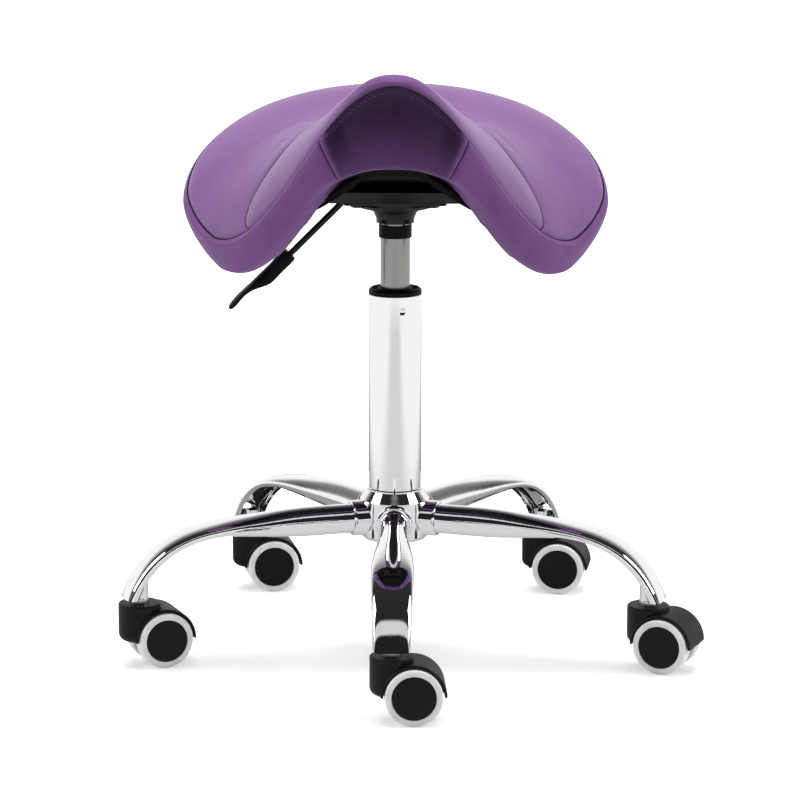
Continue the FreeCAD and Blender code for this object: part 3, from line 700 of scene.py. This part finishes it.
def seam_distances(grid):
    """Signed distance to the thigh seams, positive on the lobes, and distance to the edge."""
    flat = grid.reshape(-1, 3)
    to_thigh = nearest(flat, seams, seam_sides).reshape(grid.shape[:2])
    to_edge = np.abs(nearest(flat, loop, np.ones_like(loop))).reshape(grid.shape[:2])
    to_edge[:, [0, -1]] = 0.0
    to_edge[[0, -1], :] = 0.0
    return to_thigh, to_edge


# %% [markdown]
# ## The blown cover
# Foam pushes each panel up between its seams, most in the middle and not at all at the thread.
# A formula of the distance could guess that, but real cloth also pulls across the panel. So the
# cover is pinned along all seams and blown up by a cloth simulation on a coarse grid, and its
# rise is carried over to the fine one. Both sides of a seat are sewn alike, so the two halves
# of the rise are averaged.

# %%
# The blown cover
panel_rise = 4.0
held_at_thigh = 3.5
held_at_edge = 3.0
cloth_frames = 20
cloth_mass = 0.4
cloth_stiffness = 5.0
cloth_bending = 2.0
cloth_pressure = 80.0
cloth_quality = 6


def pinned_cloth(piece, held):
    """Give a piece cloth settings, with the points in held pinned."""
    group = piece.vertex_groups.new(name="held")
    group.add(np.flatnonzero(held).tolist(), 1.0, "REPLACE")
    cloth = piece.modifiers.new("cloth", "CLOTH").settings
    cloth.vertex_group_mass = group.name
    cloth.quality = cloth_quality
    cloth.mass = cloth_mass
    cloth.tension_stiffness = cloth_stiffness
    cloth.compression_stiffness = cloth_stiffness
    cloth.bending_stiffness = cloth_bending
    cloth.use_pressure = True
    cloth.uniform_pressure_force = cloth_pressure
    cloth.effector_weights.gravity = 0.0


def blown_rise(rows=76, columns=77):
    """How far the pinned cover rises under pressure, on a coarse grid, in millimetres.

    The grid leaves out its first and last rows, where all columns meet in one point. The rise
    levels off as panel_rise tanh(rise / panel_rise).
    """
    grid = top_grid(rows + 2, columns)[1:-1]
    to_thigh, to_edge = seam_distances(grid)
    piece = make_piece("blown cover", grid.reshape(-1, 3), quads(rows, columns), None)
    pinned_cloth(piece, (np.abs(to_thigh) < held_at_thigh) | (to_edge < held_at_edge))
    for step in range(1, cloth_frames + 1):
        scene.frame_set(step)
    shown = piece.evaluated_get(bpy.context.evaluated_depsgraph_get()).to_mesh()
    moved = np.empty(rows * columns * 3, dtype=np.float32)
    shown.vertices.foreach_get("co", moved)
    moved = moved.reshape(rows, columns, 3) / MM
    scene.frame_set(1)
    bpy.data.objects.remove(piece)
    rise = np.einsum("ijk,ijk->ij", moved - grid, outward(grid))
    rise = (rise + rise[:, ::-1]) / 2
    return panel_rise * np.tanh(np.maximum(rise, 0.0) / panel_rise)


def spread(coarse, rows, columns):
    """A coarse grid of numbers spread over a fine one."""
    down = np.linspace(0, coarse.shape[0] - 1, rows)
    over = np.linspace(0, coarse.shape[1] - 1, columns)
    half_way = np.stack([np.interp(over, np.arange(coarse.shape[1]), line) for line in coarse])
    return np.stack([np.interp(down, np.arange(coarse.shape[0]), line) for line in half_way.T], axis=1)


# %% [markdown]
# ## Top of the cover
# Beside a seam the leather rolls down to the thread over a few millimetres, less at the thigh
# seams than at the edge. A bump map could fake that, but the roll shows in the outline of the
# seat, so it is in the mesh: the grid is moved outward by the shoulder, the groove and the
# blown rise together.

# %%
# Top of the cover
groove_width = 2.6
shoulder_rise = 1.7
blown_fade = 16.0


def shoulder(distance):
    """Rise of the leather beside a seam: steep at the thread, then level."""
    return shoulder_rise * (1 - np.exp(-np.abs(distance) / groove_width))


def top_cover():
    """The three top panels as one grid, with its seams pulled in.

    The rise is the lower of the two shoulders, of which the thigh seams' is half as deep, less
    a groove at the thread, plus the blown rise, which fades out at the seams.
    """
    grid = top_grid(side_steps, column_steps)
    to_thigh, to_edge = seam_distances(grid)
    near = np.minimum(np.abs(to_thigh), to_edge)
    blown = spread(blown_rise(), side_steps, column_steps)
    beside = np.minimum(shoulder(to_edge), (shoulder(to_thigh) + shoulder_rise) / 2)
    groove = shoulder_rise / 2 * np.exp(-near / groove_width)
    rise = beside - groove + blown * (1 - np.exp(-near / blown_fade))
    print(f"the top stands up to {rise.max():.1f} mm over the padding")
    grid = grid + outward(grid) * rise[..., None]
    return make_piece("cover_top", grid.reshape(-1, 3), quads(side_steps, column_steps),
                      leather("leather top", ["thigh", "edge"]), {"thigh": to_thigh, "edge": to_edge})


cover_top = top_cover()

# %% [markdown]
# ## Side band and gusset
# The band is a strip sewn to the top all round, which hides the padding's side. Across the
# pommel it becomes the gusset, a hollow panel between two slanted seams. Both could be pieces
# of their own, but one closed strip leaves no gap at the slanted seams. Each strip of the grid
# starts at the perimeter seam, drops to the band's foot and then turns in under the seat. It
# ends short of the pan at the sides and the tail, so the cover is open there from below.

# %%
# Measures along the band
band_steps = 44
face_part = 0.62
gusset_top_y = -152.5
gusset_low_y = -160.5

# along each strip: from the seam to the band's foot, then from the foot to the inner end
share = np.linspace(0, 1, band_steps)
fall = np.clip(share / face_part, 0.0, 1.0)
wrap = np.clip((share - face_part) / (1 - face_part), 0.0, 1.0)


def run_from_nose():
    """Distance along the perimeter from the middle of the nose, negative on one side."""
    steps = np.linalg.norm(np.diff(loop, axis=0), axis=1)
    run = np.concatenate([[0.0], np.cumsum(steps)])
    return run - run[nose_index]


def gusset_distance():
    """Distance along the perimeter from the slanted seams, negative inside the gusset."""
    from_nose = -run[:side_steps][::-1]
    half_top, half_low = np.interp([gusset_top_y, gusset_low_y], edge[:, 1], from_nose)
    return np.abs(run)[:, None] - (half_top + (half_low - half_top) * fall), half_low


run = run_from_nose()
to_gusset, gusset_half_low = gusset_distance()
print(f"the gusset is {2 * gusset_half_low:.0f} mm wide at its foot, along the band")

# %%
# Points of the band
hollow_depth = 9.0
hollow_blend = 30.0
hollow_power = 1.2
arch_rise = 9.0
tuck_power = 1.3
wrap_depth = 46.0
lip_depth = 2.4
lip_part = 1 / 2.2
meet_from = 0.1
meet_to = 0.6


def plan_normals(line):
    """Outward directions of a closed anticlockwise line, seen from above."""
    ahead = np.roll(line, -1, axis=0) - np.roll(line, 1, axis=0)
    side = np.cross(ahead, [0.0, 0.0, 1.0])
    return side / np.linalg.norm(side, axis=1, keepdims=True)


def band_surface():
    """The strips round the seat, before the leather's relief.

    Out from the seam: a bulge of 4 b s (1 - s), less the tuck, less the gusset's hollow. Down:
    the band's height, less an arch across the gusset. Past the foot the strip runs in under the
    seat, sags by a small lip and meets the underside.
    """
    shape = seat_shape(loop[:, 1:2])
    normal = plan_normals(loop)
    out = 4 * band_bulge * fall * (1 - fall) - shape["tuck"] * np.abs(normal[:, :1]) * fall ** tuck_power
    inside = smooth(-to_gusset, 0.0, hollow_blend)
    out = out - hollow_depth * inside * np.sin(math.pi * np.sqrt(fall)) ** hollow_power
    out = out - wrap_depth * wrap
    x = loop[:, 0:1] + normal[:, 0:1] * out
    y = loop[:, 1:2] + normal[:, 1:2] * out
    arch = arch_rise * np.cos(math.pi / 2 * np.clip(run / gusset_half_low, -1.0, 1.0)) ** 2
    face_z = rounded_tail(loop[:, 1:2], shape["seam"] - (shape["band"] - arch[:, None]) * fall)
    foot_z = face_z[:, -1:]
    under = np.maximum(under_height(x, np.clip(y, seat_front, seat_back)), foot_z)
    meet = smooth(wrap, meet_from, meet_to)
    lip = lip_depth * np.sin(math.pi * np.clip(wrap / lip_part, 0.0, 1.0))
    z = np.where(wrap > 0, foot_z + (under - foot_z) * meet - lip, face_z)
    return np.stack([x, y, z], axis=-1)


# %%
# Side band and gusset


def down_strips(grid):
    """Distance from the perimeter seam down each strip."""
    steps = np.linalg.norm(np.diff(grid, axis=1), axis=-1)
    return np.concatenate([np.zeros((len(grid), 1)), np.cumsum(steps, axis=1)], axis=1)


def band_cover():
    """The band with a shoulder beside each seam, its points and their outward directions."""
    grid = band_surface()
    facing = outward(grid, True)
    below = down_strips(grid)
    near = np.where(wrap > 0, below, np.minimum(below, np.abs(to_gusset)))
    rise = shoulder(near) * (1 - smooth(wrap, 0.0, 0.5))
    grid = grid + facing * rise[..., None]
    material = leather("leather band", ["edge", "gusset"], hollow=True)
    piece = make_piece("cover_band", grid.reshape(-1, 3), quads(loop_count, band_steps, True),
                       material, {"edge": below, "gusset": to_gusset})
    return piece, grid, facing


cover_band, band_grid, band_facing = band_cover()

# %% [markdown]
# ## Topstitching
# A row of stitches holds the folded edge down, a little below the perimeter seam. It could be
# painted on, but raised thread catches the light. A curve with an array of stitches would keep
# them editable; here each stitch is placed by arrays of points, as the rest of the cover is: a
# short thread with rounded ends that dips into the leather at both of them.

# %%
# Topstitching
stitch_pitch = 4.4
stitch_length = 3.3
stitch_r = 0.42
stitch_drop = 6.5
thread_rings = 7
thread_spokes = 8
# what is left of the radius, squared, at a thread's ends
thread_end = 0.02


def thread():
    """Twisted polyester thread, a little darker than the leather."""
    f = Finish("thread")
    strand = f.noise(1400.0, detail=1.0)
    f.paint(f.blend(strand, "#4A2A60", "#6A4484"))
    f.gloss(0.6 + 0.2 * strand)
    return f.material


def band_line(drop):
    """The line on the band at a distance below the seam, and the way out from it."""
    below = down_strips(band_grid)
    index = np.argmax(below > drop, axis=1)
    rows = np.arange(loop_count)
    before = below[rows, index - 1]
    part = ((drop - before) / (below[rows, index] - before))[:, None]
    point = band_grid[rows, index - 1] * (1 - part) + band_grid[rows, index] * part
    lift = band_facing[rows, index]
    return np.vstack([point, point[:1]]), np.vstack([lift, lift[:1]])


def stitches(name, line, lift):
    """Threads along a line, as one mesh.

    Each thread is a tube round its own axis: r sqrt(1 - t^6) thick at t from -1 to 1, though
    never thinner than r sqrt(thread_end), and sunk by half of r |t|^3.
    """
    count = int(np.linalg.norm(np.diff(line, axis=0), axis=1).sum() / stitch_pitch)
    place = along(line, count + 1)[:-1]
    out = along(np.hstack([line, lift]), count + 1)[:-1, 3:]
    ahead = np.gradient(place, axis=0)
    ahead = (ahead / np.linalg.norm(ahead, axis=1, keepdims=True))[:, None, None, :]
    out = (out / np.linalg.norm(out, axis=1, keepdims=True))[:, None, None, :]
    side = np.cross(ahead, out)
    t = np.linspace(-1, 1, thread_rings)[None, :, None]
    turn = np.linspace(0, 2 * math.pi, thread_spokes, endpoint=False)[:, None, None]
    radius = stitch_r * np.sqrt(np.clip(1 - t ** 6, thread_end, 1.0))
    sink = 0.5 * stitch_r * np.abs(t) ** 3
    body = (place[:, None, None, :] + ahead * t * stitch_length / 2
            + side * radius * np.cos(turn) + out * (radius * np.sin(turn) - sink))
    one = quads(thread_spokes, thread_rings, True)
    first = np.arange(count)[:, None, None] * thread_spokes * thread_rings
    print(count, "stitches")
    return make_piece(name, body.reshape(-1, 3), (one + first).reshape(-1, 4), thread())


topstitch = stitches("cover_topstitch", *band_line(stitch_drop))

# %% [markdown]
# ## How the cover hangs on the stool
# The cover turns and rises with the seat, so its pieces ride on that body. The top stands in for the whole
# cushion, which the frame shows as one solid, and that solid is hidden. The top and the band are padded,
# and give way under a hand.

# %%
# How the cover hangs on the stool
for piece in (cover_top, cover_band, topstitch):
    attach(piece, "seat")
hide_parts("seat_cushion")
print("the cover rides on the seat and stands in for its cushion")

# %% [markdown]
# ## Floor
# The stool stands on a white sweep, whose far part should vanish into the background while the
# contact shadows stay. More light would do it, but would also bleach the stool. So the floor
# glows a little, more with the distance, and not to matt surfaces, which the glow would light
# from below. To mirrored rays it shows a plain pattern of greys, because chrome over an evenly
# white floor would lose its edges.

# %%
# Floor
floor_half = 12000.0
# distances in metres and levels of grey
glow_from = 0.8
glow_to = 2.4
near_glow = 0.34
front_level = 0.72
behind_level = 0.25


def studio_floor():
    """A large white floor: its glow and what mirrors see of it depend on the place."""
    corners = np.array([[-1, -1, 0], [1, -1, 0], [1, 1, 0], [-1, 1, 0]]) * floor_half
    f = Finish("floor", Base_Color="#F0F0F0", Roughness=0.9, Emission_Strength=1.0)
    far = f.add("ShaderNodeVectorMath", {"Vector": f.place()}, "Value", operation="LENGTH")
    far = far.between(glow_from, glow_to)
    glow = f.blend(far, grey(near_glow), grey(1.0))
    to_matt = f.add("ShaderNodeLightPath", output="Is Diffuse Ray")
    f.feed(f.shader.inputs["Emission Color"], f.blend(to_matt, glow, grey(0.0)))
    beside = abs(f.add("ShaderNodeSeparateXYZ", {"Vector": f.place()}, "X")).between(0.3, 0.9)
    behind = f.add("ShaderNodeSeparateXYZ", {"Vector": f.place()}, "Y").between(-0.1, 0.3)
    level = f.blend(behind, grey(front_level), grey(behind_level))
    level = f.blend(beside, level, grey(1.0))
    level = f.blend(far.between(0.5, 0.9), level, grey(1.0))
    mirrored = f.add("ShaderNodeLightPath", output="Is Glossy Ray")
    shown = f.add("ShaderNodeEmission", {"Color": level})
    inputs = {0: mirrored, 1: Value(f, f.shader.outputs[0]), 2: shown}
    end = next(n for n in f.tree.nodes if n.type == "OUTPUT_MATERIAL")
    f.feed(end.inputs["Surface"], f.add("ShaderNodeMixShader", inputs))
    piece = make_piece("floor", corners, np.array([[0, 1, 2, 3]]), f.material)
    piece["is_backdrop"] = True


studio_floor()

# %% [markdown]
# ## Room
# Chrome shows what stands around it. A photographed room could be used, but a few bands are
# enough and are easier to aim. To mirrored rays the room is drawn as bands that run over from
# the camera's side to the far side: a white horizon, a black wall, one pale lamp panel, a black
# ceiling and a white far wall. Matt surfaces get an even, plain light, and the camera sees
# white.

# %%
# Room
# degrees above the camera's horizon, over the top to the far one, and the grey from there on
room_bands = [(0, 1.0), (7, 1.0), (9, 0.015), (43, 0.015), (45, 0.7), (55, 0.7), (58, 0.02),
              (120, 0.03), (140, 0.3), (150, 0.8), (158, 1.0)]
plain_light = 0.25


class Room(Finish):
    """The world's shader, written with the same arithmetic."""

    def __init__(self, name):
        self.material = bpy.data.worlds.new(name)
        self.material.use_nodes = True
        self.tree = self.material.node_tree
        self.tree.nodes.clear()


def studio_room():
    """White to the camera, plain light to matt surfaces, banded to mirrors."""
    room = Room("room")
    scene.world = room.material
    direction = room.add("ShaderNodeTexCoord", output="Generated")
    y = room.add("ShaderNodeSeparateXYZ", {"Vector": direction}, "Y")
    z = room.add("ShaderNodeSeparateXYZ", {"Vector": direction}, "Z")
    over = z.maths("ARCTAN2", 0.0 - y) / math.pi
    stops = [(degrees / 180, grey(level)) for degrees, level in room_bands]
    bands = room.add("ShaderNodeValToRGB", {"Fac": over}, stops=stops)
    plain = room.add("ShaderNodeBackground", {"Color": "#FFFFFF", "Strength": plain_light})
    banded = room.add("ShaderNodeBackground", {"Color": bands})
    white = room.add("ShaderNodeBackground", {"Color": "#FFFFFF"})
    mirrored = room.add("ShaderNodeLightPath", output="Is Glossy Ray")
    seen = room.add("ShaderNodeLightPath", output="Is Camera Ray")
    light = room.add("ShaderNodeMixShader", {0: mirrored, 1: plain, 2: banded})
    light = room.add("ShaderNodeMixShader", {0: seen, 1: light, 2: white})
    room.add("ShaderNodeOutputWorld", {"Surface": light}, None)


studio_room()
print(len(room_bands), "stops in the room's bands")

# %% [markdown]
# ## Lamps
# Three softboxes light the stool as in a catalogue: a large one overhead for the seat, and one
# on each side for the flanks and the legs. The chrome shows the two at the sides as bright
# panels. It doesn't show the one overhead, which would fill the legs' tops with white.

# %%
# Lamps
# places and sizes in metres, power in watts
aim_point = Vector((0.0, 0.0, 0.4))
overhead = {"place": (0.0, 0.4, 2.6), "width": 2.4, "height": 1.6, "watts": 80.0}
beside_x = 2.4
beside = {"width": 1.2, "height": 1.8, "watts": 30.0}


def softbox(name, place, width, height, watts, mirrored=True):
    """A soft rectangular lamp pointed at the stool; mirrored says whether chrome shows it."""
    data = bpy.data.lights.new(name, "AREA")
    data.shape = "RECTANGLE"
    data.size = width
    data.size_y = height
    data.energy = watts
    lamp = bpy.data.objects.new(name, data)
    lamp.location = place
    lamp.rotation_euler = (aim_point - Vector(place)).to_track_quat("-Z", "Y").to_euler()
    lamp.visible_glossy = mirrored
    scene.collection.objects.link(lamp)


softbox("overhead", mirrored=False, **overhead)
softbox("left", (-beside_x, -0.3, 1.7), **beside)
softbox("right", (beside_x, -0.3, 1.7), **beside)
print("the lamps give", overhead["watts"] + 2 * beside["watts"], "W together")

# %% [markdown]
# ## Sizes
# The boxes round the stool, as loaded and as finished, are printed in millimetres. The cover may stand a
# little past the padding that it replaces, but not much.

final_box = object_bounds()
sizes = {"loaded": [list(map(float, corner)) for corner in loaded_box],
         "final": [list(map(float, corner)) for corner in final_box]}
for name, (low, high) in sizes.items():
    print(name, "box in mm:", [round((b - a) / MM, 1) for a, b in zip(low, high)])
